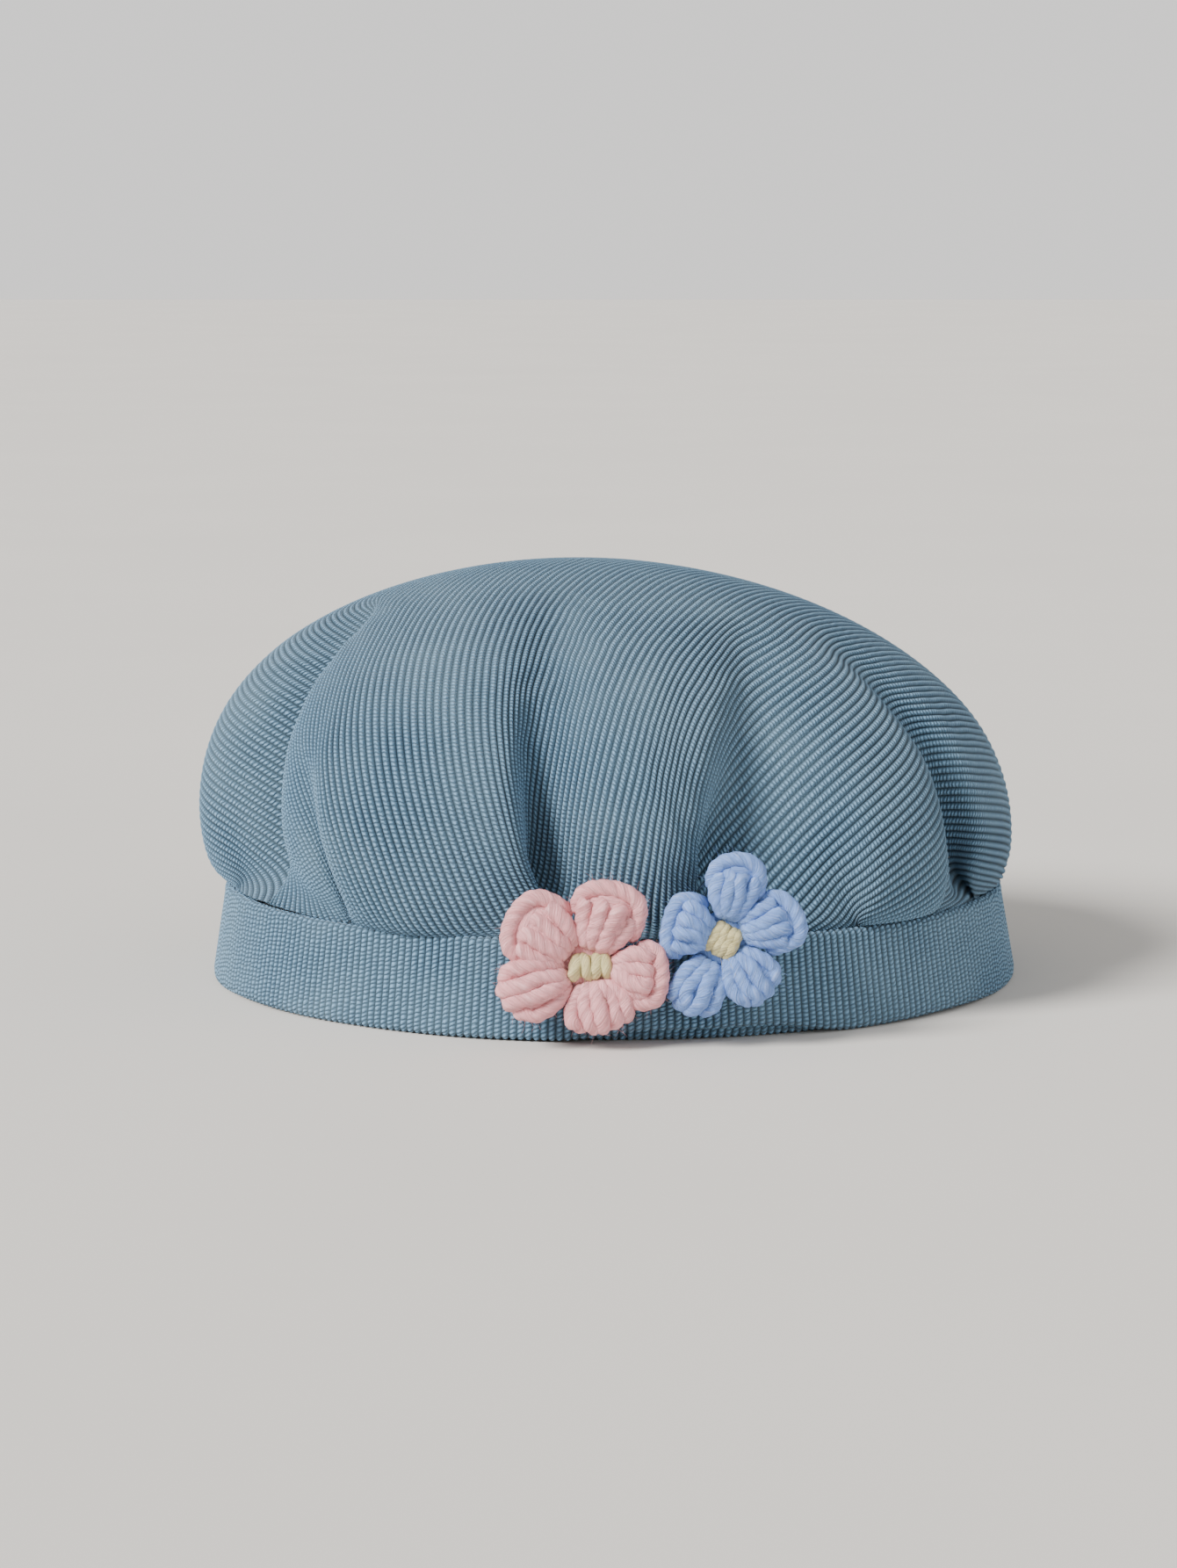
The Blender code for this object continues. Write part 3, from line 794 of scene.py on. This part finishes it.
class BERET_OT_band(Operator):
    """Makes the corduroy band and the facing folded up inside it"""

    bl_idname = "beret.band"
    bl_label = "Band and Facing"

    def execute(self, context):
        beret = context.scene.beret
        cloth = beret.cloth
        pitch = cloth.wale_pitch
        _, unit_length = even_azimuths(8)
        wales = round(unit_length * HEM_HALF / pitch)
        count = wales * 4

        def rib(step):
            return cloth.wale_height * (np.choose(step % 4, [1.0, 0.72, 0.0, 0.72]) - 0.75)

        finish = corduroy_finish("corduroy_band", beret.colours, unit_length * HEM_HALF / wales)
        top = HEM_HALF - 2.0 * MM
        outer = [(top - 2.6 * MM, SEAM_Z - 3.5 * MM), (top - 2.2 * MM, SEAM_Z - 1.6 * MM)]
        outer += [(top - 1.1 * MM - 1.1 * MM * cos(a), SEAM_Z - 1.1 * MM + 1.1 * MM * sin(a)) for a in np.linspace(0.5, pi - 0.2, 5)]
        outer += [(top + 2.0 * MM * s, SEAM_Z - 1.6 * MM - (SEAM_Z - 3.0 * MM) * s) for s in np.linspace(0, 1, 9)]
        outer += [(HEM_HALF - 0.75 * MM + 0.75 * MM * cos(a), 0.75 * MM - 0.75 * MM * sin(a)) for a in np.linspace(0.3, pi, 5)]
        outer += [(HEM_HALF - 1.6 * MM, 3.0 * MM), (HEM_HALF - 1.8 * MM, 6.0 * MM)]

        def outer_shape(azimuth, half, z):
            low = np.clip(1 - z / SEAM_Z, 0, 1)
            sway = 0.45 * MM * ripple(azimuth, 3, 6, 3, 16) * low
            return sway, hem_lift(azimuth) * low

        bm = band_ring(outer, count, rib, outer_shape)
        band = finished("band_outer_cloth", bm, finish)
        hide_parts("band_outer")

        inner = HEM_HALF - 2.3 * MM
        facing = [(inner - 0.2 * MM, 4.2 * MM), (inner + 0.45 * MM, 2.0 * MM)]
        facing += [(inner - 0.6 * MM + 0.6 * MM * cos(a), 0.75 * MM - 0.6 * MM * sin(a)) for a in np.linspace(0, pi, 6)]
        facing += [(inner - 1.2 * MM - 1.3 * MM * s, 1.6 * MM + 8.4 * MM * s) for s in np.linspace(0, 1, 7)]
        facing += [(inner - 2.5 * MM, 12.0 * MM), (inner - 2.4 * MM, 14.6 * MM)]

        def facing_shape(azimuth, half, z):
            return 0.2 * MM * ripple(azimuth, 9, 5, 3, 12), 0.12 * MM * ripple(azimuth, 4, 4, 3, 12)

        bm = band_ring(facing, count, rib, facing_shape)
        lining = finished("band_facing_cloth", bm, finish)
        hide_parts("band_facing")

        stiff_low, stiff_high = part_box("band_interfacing")
        gap = stiff_high.z - stiff_low.z
        strip = [
            (stiff_high.x - 1.95 * MM * s, stiff_low.z + 0.9 * MM + (gap - 0.9 * MM) * s)
            for s in np.linspace(0, 1, 9)
        ]
        bm = band_ring(strip, 360, lambda step: 0.0 * step, lambda azimuth, half, z: (
            0.0 * half, hem_lift(azimuth) * np.clip(1.1 - z / SEAM_Z, 0, 1)
        ))
        stiffener = woven_finish("interfacing", (0.80, 0.80, 0.78), thread=0.0006)
        stiff = finished("band_interfacing_cloth", bm, stiffener)
        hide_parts("band_interfacing")
        return {"FINISHED"}


# ---------------------------------------------------------------------------------------- lining


class BERET_OT_lining(Operator):
    """Makes the soft cotton lining under the crown"""

    bl_idname = "beret.lining"
    bl_label = "Crown Lining"

    def execute(self, context):
        beret = context.scene.beret
        rings, sectors = 44, 288
        half = LINING_HIGH.x - 1.2 * MM
        widest = SEAM_Z + 3.0 * MM
        over = np.linspace(0, pi / 2, rings - 6)
        profile = [(half * sin(a), widest + (LINING_HIGH.z - widest) * cos(a)) for a in over]
        low = np.linspace(0, 1, 7)[1:]
        profile += [(half + 0.6 * MM * s, widest - (widest - LINING_LOW.z) * s) for s in low]
        bm = bmesh.new()
        points = [bm.verts.new((0, -r, z)) for r, z in profile]
        edges = [bm.edges.new(pair) for pair in zip(points, points[1:])]
        bmesh.ops.spin(
            bm, geom=points + edges, cent=(0, 0, 0), axis=(0, 0, 1), angle=2 * pi, steps=sectors,
            use_merge=True,
        )
        bmesh.ops.remove_doubles(bm, verts=bm.verts, dist=1e-6)
        bmesh.ops.scale(bm, verts=bm.verts, vec=(1, DEPTH, 1))
        points = coordinates(bm)
        turn = np.degrees(np.arctan2(points[:, 0], -points[:, 1] / DEPTH))
        out = np.hypot(points[:, 0], points[:, 1] / DEPTH)
        down = smoothstep((LINING_HIGH.z - points[:, 2]) / (LINING_HIGH.z - widest))
        crimp = 0.5 * MM * down**2 * np.cos(np.radians(turn) * 46 + 2 * ripple(turn, 12, 5, 2, 9))
        sag = 0.9 * MM * ripple(turn, 21, 6, 2, 8) * down
        rise = np.clip((points[:, 2] - SEAM_Z) / (TOP_Z - SEAM_Z), 0, 1)
        tree = BVHTree.FromBMesh(bmesh_of("crown"))
        new = []
        for point, share, move, lift in zip(points, out, crimp + sag, rise):
            axis = Vector((LEAN * lift * 0.8, 0, point[2] * 0.55 + 4 * MM))
            spot = Vector(point) + Vector((LEAN * lift * 0.8, 0, 0))
            ray = spot - axis
            reach = ray.length + (move if share > 2 * MM else 0)
            hit = tree.ray_cast(axis, ray.normalized())
            if hit[0] is not None and point[2] > SEAM_Z - 0.5 * MM:
                reach = min(reach, hit[3] - 3.0 * MM)
            new.append(axis + ray.normalized() * reach)
        place(bm, new)
        bmesh.ops.reverse_faces(bm, faces=bm.faces)
        for _ in range(2):
            bmesh.ops.smooth_vert(bm, verts=[v for v in bm.verts if not v.is_boundary], factor=0.5,
                                  use_axis_x=True, use_axis_y=True, use_axis_z=True)
        grain = points[:, :2] + np.stack([0 * out, points[:, 2] * 0.8], axis=1)
        finish = woven_finish("lining_cotton", beret.colours.lining)
        lining = finished("crown_lining_cloth", bm, finish, grain)
        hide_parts("crown_lining")
        return {"FINISHED"}


def bmesh_of(name):
    bm = bmesh.new()
    bm.from_mesh(bpy.data.objects[name].data)
    return bm


# ---------------------------------------------------------------------------------------- threads


class BERET_OT_threads(Operator):
    """Gives the stitching that the model carries its finish"""

    bl_idname = "beret.threads"
    bl_label = "Stitching"

    def execute(self, context):
        colours = context.scene.beret.colours
        thread = thread_finish("blue_thread", colours.thread)
        for name in ("gathering_thread", "band_seam_stitching", "hem_stitching"):
            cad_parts[name].material_slots[0].material = thread
        return {"FINISHED"}


# ---------------------------------------------------------------------------------------- flowers


def upright_tube(bm, sides, rings, end_radius, capped):
    """A tube one unit long with its vertices in even rings."""
    bmesh.ops.create_cone(bm, cap_ends=capped, segments=sides, radius1=1.0, radius2=end_radius, depth=1.0)
    upright = [e for e in bm.edges if abs(e.verts[0].co.z - e.verts[1].co.z) > 0.5]
    bmesh.ops.subdivide_edges(bm, edges=upright, cuts=rings - 2, use_grid_fill=True)


class Yarn:
    """Strands of one piece of yarn work, drawn in the flower's own plane.

    A path is given as points of (across, up, out) in metres from the flower's centre. Out is towards
    the viewer.
    """

    SIDES = 12

    def __init__(self, origin, tilt=0.0, twist=0.0058, size=1.0):
        self.bm = bmesh.new()
        self.lay = []
        self.origin = Vector(origin)
        self.twist = twist
        self.turn = Matrix.Rotation(radians(tilt), 3, "X") @ Matrix.Scale(size, 3)

    def added(self, kind, make):
        """Adds an unshaped form, one unit in size, and returns its vertices."""
        if kind not in bpy.data.meshes:
            form = bmesh.new()
            make(form)
            mesh = bpy.data.meshes.new(kind)
            form.to_mesh(mesh)
            form.free()
        before = len(self.bm.verts)
        self.bm.from_mesh(bpy.data.meshes[kind])
        self.bm.verts.ensure_lookup_table()
        return self.bm.verts[before:]

    def set_down(self, verts, spots, lay):
        """Moves vertices from the flower's plane to their place on the cap."""
        for vertex, spot, value in zip(verts, spots, lay):
            vertex.co = self.turn @ Vector((spot[0], -spot[2], spot[1])) + self.origin
            self.lay.append((vertex, value))

    def strand(self, path, radius, rings=26, plies=3, ends=0.45, lobe=0.085, start=0.0):
        """One twisted strand along a smooth path."""
        knots = np.array(path, float)
        gaps = np.concatenate([[0.0], np.cumsum(np.linalg.norm(np.diff(knots, axis=0), axis=1))])
        smooth = spline(knots, gaps, np.linspace(0, gaps[-1], 6 * rings))
        run = np.concatenate([[0.0], np.cumsum(np.linalg.norm(np.diff(smooth, axis=0), axis=1))])
        verts = self.added(f"strand_{rings}", lambda form: upright_tube(form, self.SIDES, rings, 1.0, True))
        local = np.array([v.co for v in verts])
        share = np.clip(local[:, 2] + 0.5, 0, 1)
        step = np.rint(share * (rings - 1)).astype(int)
        turn = np.arctan2(local[:, 1], local[:, 0])
        at = np.linspace(0, run[-1], rings)
        centre = np.stack([np.interp(at, run, smooth[:, k]) for k in range(3)], axis=1)
        tangent = np.gradient(centre, axis=0)
        tangent /= np.linalg.norm(tangent, axis=1)[:, None]
        side = np.zeros_like(tangent)
        current = np.cross(tangent[0], (0.0, 0.0, 1.0))
        if np.linalg.norm(current) < 0.1:
            current = np.cross(tangent[0], (1.0, 0.0, 0.0))
        for k in range(rings):
            current = current - tangent[k] * np.dot(current, tangent[k])
            current = current / np.linalg.norm(current)
            side[k] = current
        other = np.cross(tangent, side)
        close = np.minimum(at, run[-1] - at) / radius
        cap = np.where(close < 1, ends + (1 - ends) * np.sqrt(np.clip(1 - (1 - close) ** 2, 0, 1)), 1.0)
        swell = 1 + lobe * np.cos(plies * (turn - 2 * pi * at[step] / self.twist - start))
        r = radius * cap[step] * swell
        spots = centre[step] + side[step] * (r * np.cos(turn))[:, None] + other[step] * (r * np.sin(turn))[:, None]
        self.set_down(verts, spots, zip(turn / (2 * pi), at[step]))
        return spots

    def stuffing(self, middle, along, half):
        """The egg of yarn inside a puff, its half lengths along, across and out."""
        verts = self.added("egg", lambda form: bmesh.ops.create_uvsphere(
            form, u_segments=18, v_segments=12, radius=1.0,
        ))
        local = np.array([v.co for v in verts])
        across = np.array((-along[1], along[0]))
        flat = np.outer(local[:, 2] * half[0], along) + np.outer(local[:, 0] * half[1], across)
        spots = np.column_stack([flat, local[:, 1] * half[2]]) + middle
        self.set_down(verts, spots, zip(np.arctan2(local[:, 1], local[:, 0]) / (2 * pi), local[:, 2] * half[0]))

    def hair(self, start, direction, length, bend, radius=0.028 * MM):
        """One loose fibre, a few faces only."""
        verts = self.added("hair", lambda form: upright_tube(form, 3, 5, 0.35, False))
        direction = direction / np.linalg.norm(direction)
        local = np.array([v.co for v in verts])
        s = local[:, 2:] + 0.5
        spots = start + direction * length * s + bend * s * s
        spots[:, :2] += local[:, :2] * radius
        self.set_down(verts, spots, [(0.0, length * x) for x in s[:, 0]])

    def finish(self, name, material, slot, nodes):
        bmesh.ops.recalc_face_normals(self.bm, faces=self.bm.faces)
        self.bm.verts.index_update()
        lay = np.zeros((len(self.bm.verts), 2))
        for vertex, value in self.lay:
            lay[vertex.index] = value
        mesh = bpy.data.meshes.new(name)
        self.bm.to_mesh(mesh)
        self.bm.free()
        mesh.shade_smooth()
        add_uv(mesh, "Lay", lay)
        close_seam(mesh, "Lay")
        mesh.materials.append(material)
        piece = bpy.data.objects.new(name, mesh)
        bpy.context.scene.collection.objects.link(piece)
        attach(piece, "root")
        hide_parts(*nodes)
        return piece


def close_seam(mesh, name):
    """Unrolls the lay past one turn on the faces that cross its seam."""
    layer = mesh.uv_layers[name]
    values = np.empty(len(mesh.loops) * 2, np.float32)
    layer.uv.foreach_get("vector", values)
    values = values.reshape(-1, 2)
    for face in mesh.polygons:
        first, last = face.loop_start, face.loop_start + face.loop_total
        part = values[first:last, 0]
        if part.max() - part.min() > 0.5:
            part[part < 0] += 1.0
    layer.uv.foreach_set("vector", values.ravel())


def spline(knots, gaps, wanted):
    """Points on a smooth curve through the knots."""
    before = np.concatenate([[2 * knots[0] - knots[1]], knots, [2 * knots[-1] - knots[-2]]])
    index = np.clip(np.searchsorted(gaps, wanted, side="right") - 1, 0, len(knots) - 2)
    t = ((wanted - gaps[index]) / (gaps[index + 1] - gaps[index]))[:, None]
    a, b, c, d = (before[index + k] for k in range(4))
    return 0.5 * (2 * b + (c - a) * t + (2 * a - 5 * b + 4 * c - d) * t**2 + (3 * b - a - 3 * c + d) * t**3)


def puff_petal(work, petal, yarn, rng, fuzz):
    """A puff stitch: thick soft strands from the centre that turn over the tip, often under a hood."""
    angle, reach, width, length, count, hood, front = petal
    reach, width, length, front = reach * MM, width * MM, length * MM, front * MM
    out = np.array((cos(radians(angle)), sin(radians(angle))))
    side = np.array((-out[1], out[0]))
    radius = yarn / 2
    near = reach - length / 2

    def spot(along, across, height):
        flat = out * (near + along * length) + side * across
        return (flat[0], flat[1], height)

    work.stuffing(spot(0.52, 0, 0.25 * front), out, (0.45 * length, 0.42 * width, 0.85 * front))
    reach_across = width / 2 - radius - (0.55 * radius if hood else 0.0)
    surface = []
    for k in range(count):
        s = 2 * k / (count - 1) - 1
        wide = reach_across * s
        high = front * (1 - 0.30 * s * s) * rng.uniform(0.93, 1.05)
        tip = 1 - 0.10 * s * s - (0.16 if hood else 0.0) - radius / length
        wobble = rng.normal(0, 0.22 * MM, 8)
        path = [
            spot(0.06, wide * 0.34, -0.1 * front),
            spot(0.16, wide * 0.60 + wobble[0], high * 0.62),
            spot(0.36, wide * 0.92 + wobble[1], high * 0.95 + wobble[2]),
            spot(0.60, wide * 1.02 + wobble[3], high + wobble[4]),
            spot(tip - 0.08, wide * 0.92 + wobble[5], high * 0.80),
            spot(tip, wide * 0.80 + wobble[6], high * 0.25),
            spot(tip - 0.07, wide * 0.66, -0.35 * front),
        ]
        thick = radius * rng.uniform(0.95, 1.14)
        surface.append(work.strand(path, thick, rings=30, start=rng.uniform(0, 2 * pi)))
    if hood:
        rim = width / 2 - radius * 0.85
        turn = hood * 0.10 * length
        arch = [
            spot(0.30, -rim * 0.96, -0.15 * front),
            spot(0.52, -rim * 1.04 - 0.1 * turn, 0.42 * front),
            spot(0.80, -rim * 0.86, 0.62 * front),
            spot(1 - radius / length, -rim * 0.18, 0.66 * front),
            spot(0.93 - radius / length, rim * 0.62, 0.64 * front),
            spot(0.66, rim * 1.02, 0.48 * front),
            spot(0.40, rim * 0.98, 0.05 * front),
        ]
        surface.append(work.strand(arch, radius * 1.06, rings=40, start=rng.uniform(0, 2 * pi)))
    points = np.concatenate(surface)
    middle = np.array(spot(0.5, 0.0, 0.0))
    for _ in range(fuzz):
        start = points[rng.integers(len(points))]
        away = (start - middle) / np.linalg.norm(start - middle) + rng.normal(0, 0.55, 3)
        bend = rng.normal(0, 0.45 * MM, 3)
        work.hair(start, away, rng.uniform(0.6, 1.9) * MM, bend)


def yarn_centre(work, wide, tall, lean, yarn, rng):
    """The small tight knot in the middle of a flower."""
    c, s = cos(lean), sin(lean)

    def spot(x, y, z):
        return (c * x - s * y, s * x + c * y, z)

    work.stuffing(spot(0, 0, 0.3 * MM), np.array((c, s)), (wide * 0.92, tall * 0.88, 1.5 * MM))
    surface = []
    for k, (x, slope) in enumerate(((-0.62, 0.5), (-0.15, -0.4), (0.30, 0.45), (0.70, -0.25))):
        path = [
            spot(wide * (x - 0.28 * slope), -tall * 0.72, 0.1 * MM),
            spot(wide * (x - 0.12 * slope), -tall * 0.35, 1.45 * MM),
            spot(wide * (x + 0.12 * slope), tall * 0.35, 1.45 * MM),
            spot(wide * (x + 0.28 * slope), tall * 0.72, 0.1 * MM),
        ]
        surface.append(work.strand(path, 0.40 * yarn, rings=16, start=1.7 * k))
    points = np.concatenate(surface)
    for _ in range(30):
        start = points[rng.integers(len(points))]
        work.hair(start, np.array((0, 0, 0.6)) + rng.normal(0, 0.7, 3), rng.uniform(0.4, 1.0) * MM,
                  rng.normal(0, 0.3 * MM, 3))


class BERET_OT_flowers(Operator):
    """Crochets both flowers, their centres and the ties that hold them on"""

    bl_idname = "beret.flowers"
    bl_label = "Crocheted Flowers"

    def execute(self, context):
        beret = context.scene.beret
        flowers, colours = beret.flowers, beret.colours
        yellow = yarn_finish("yellow_yarn", colours.yellow, flowers.twist)
        tie = thread_finish("clear_thread", (0.82, 0.80, 0.76), 0.45)
        for seed, (name, flower) in enumerate(FLOWERS.items()):
            rng = np.random.default_rng(40 + seed)
            low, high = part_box(f"{name}_flower_centre")
            middle = (low + high) / 2
            petal_low = min(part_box(f"{name}_petal_{k + 1}")[0].y for k in range(5))
            origin = (middle.x, petal_low + 7.6 * MM, middle.z + 0.3 * MM)
            finish = yarn_finish(f"{name}_yarn", getattr(colours, name), flowers.twist)
            for k, petal in enumerate(flower["petals"]):
                work = Yarn(origin, TILT, flowers.twist, flower["size"])
                puff_petal(work, petal, flower["yarn"] * flowers.yarn, rng, flowers.fuzz)
                if k == 0:
                    # The round of stitches that all five petals grow from.
                    work.stuffing(np.array((0, 0, -0.5 * MM)), (1.0, 0.0), BASE_ROUND)
                work.finish(f"{name}_petal_{k + 1}_yarn", finish, f"{name}_yarn", [f"{name}_petal_{k + 1}"])
            work = Yarn(origin, TILT, flowers.twist, flower["size"])
            wide, tall, lean = flower["centre"]
            yarn_centre(work, wide * MM / 2, tall * MM / 2, radians(lean), flowers.yarn, rng)
            for sway in (-0.35, 0.05, 0.45):
                start = np.array((sway * 1.6 * MM, -1.6 * MM, 1.2 * MM))
                way = np.array((sway + flower["ends"], -1.0, 0.75))
                work.hair(start, way, rng.uniform(3.2, 5.4) * MM, np.array((0, -0.4 * MM, -0.6 * MM)), 0.05 * MM)
            work.finish(f"{name}_centre_yarn", yellow, "yellow_yarn", [f"{name}_flower_centre"])
            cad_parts[f"{name}_flower_tack"].material_slots[0].material = tie
        return {"FINISHED"}


# ---------------------------------------------------------------------------------------- stage


class BERET_OT_stage(Operator):
    """Sets out the floor, the soft light and the camera"""

    bl_idname = "beret.stage"
    bl_label = "Floor, Light and Camera"

    def execute(self, context):
        scene = context.scene
        stage, colours = scene.beret.stage, scene.beret.colours
        bm = bmesh.new()
        bmesh.ops.create_grid(bm, x_segments=8, y_segments=8, size=4.0)
        mesh = bpy.data.meshes.new("floor")
        bm.to_mesh(mesh)
        bm.free()
        mesh.materials.append(floor_finish("floor", colours.floor))
        floor = bpy.data.objects.new("floor", mesh)
        scene.collection.objects.link(floor)

        world = bpy.data.worlds.new("studio")
        world.use_nodes = True
        tree = world.node_tree
        background = tree.nodes["Background"]
        background.inputs["Color"].default_value = (1.0, 0.985, 0.97, 1.0)
        way = put(tree, "ShaderNodeTexCoord").outputs["Generated"]
        height = put(tree, "ShaderNodeSeparateXYZ", {"Vector": way}).outputs["Z"]
        tree.links.new(spread(tree, height, 0.06, 0.40, 1.10, stage.sky), background.inputs["Strength"])
        scene.world = world

        for name, way, power, softness, colour in (
            ("key", (-0.80, -0.52, 0.70), stage.key_power, 22.0, (1.0, 0.985, 0.96)),
            ("fill", (0.75, -0.60, 0.45), 0.10 * stage.key_power, 60.0, (0.95, 0.97, 1.0)),
        ):
            data = bpy.data.lights.new(name, "SUN")
            data.energy = power
            data.angle = radians(softness)
            data.color = colour
            lamp = bpy.data.objects.new(name, data)
            lamp.location = way
            lamp.rotation_euler = (-Vector(way)).to_track_quat("-Z", "Y").to_euler()
            scene.collection.objects.link(lamp)

        data = bpy.data.cameras.new("camera")
        data.lens = stage.lens
        camera = bpy.data.objects.new("camera", data)
        middle = Vector((-4.06 * MM, 0, 31.1 * MM))
        tilt, far = stage.camera_elevation, stage.camera_distance
        camera.location = middle + Vector((0, -far * cos(tilt), far * sin(tilt)))
        camera.rotation_euler = (pi / 2 - tilt, 0, 0)
        scene.collection.objects.link(camera)
        scene.camera = camera
        return {"FINISHED"}


class BERET_PT_pieces(Panel):
    """The beret's pieces, in the order they are made"""

    bl_idname = "BERET_PT_pieces"
    bl_label = "Beret"
    bl_space_type = "VIEW_3D"
    bl_region_type = "UI"
    bl_category = "Beret"

    def draw(self, context):
        for operator in OPERATORS:
            self.layout.operator(operator.bl_idname)
        for group in ("cloth", "flowers", "colours", "stage"):
            box = self.layout.box()
            box.label(text=group.capitalize())
            settings = getattr(context.scene.beret, group)
            for name in settings.__annotations__:
                box.prop(settings, name)


OPERATORS = (
    BERET_OT_stage, BERET_OT_band, BERET_OT_crown, BERET_OT_lining, BERET_OT_threads, BERET_OT_flowers,
)
CLASSES = (
    BeretCloth, BeretFlowers, BeretColours, BeretStage, BeretSettings, *OPERATORS, BERET_PT_pieces,
)


def register():
    for item in CLASSES:
        bpy.utils.register_class(item)
    bpy.types.Scene.beret = PointerProperty(type=BeretSettings)


def unregister():
    del bpy.types.Scene.beret
    for item in reversed(CLASSES):
        bpy.utils.unregister_class(item)


def main():
    register()
    bpy.ops.beret.stage()
    bpy.ops.beret.band()
    bpy.ops.beret.crown()
    bpy.ops.beret.lining()
    bpy.ops.beret.threads()
    bpy.ops.beret.flowers()


if __name__ == "__main__":
    main()
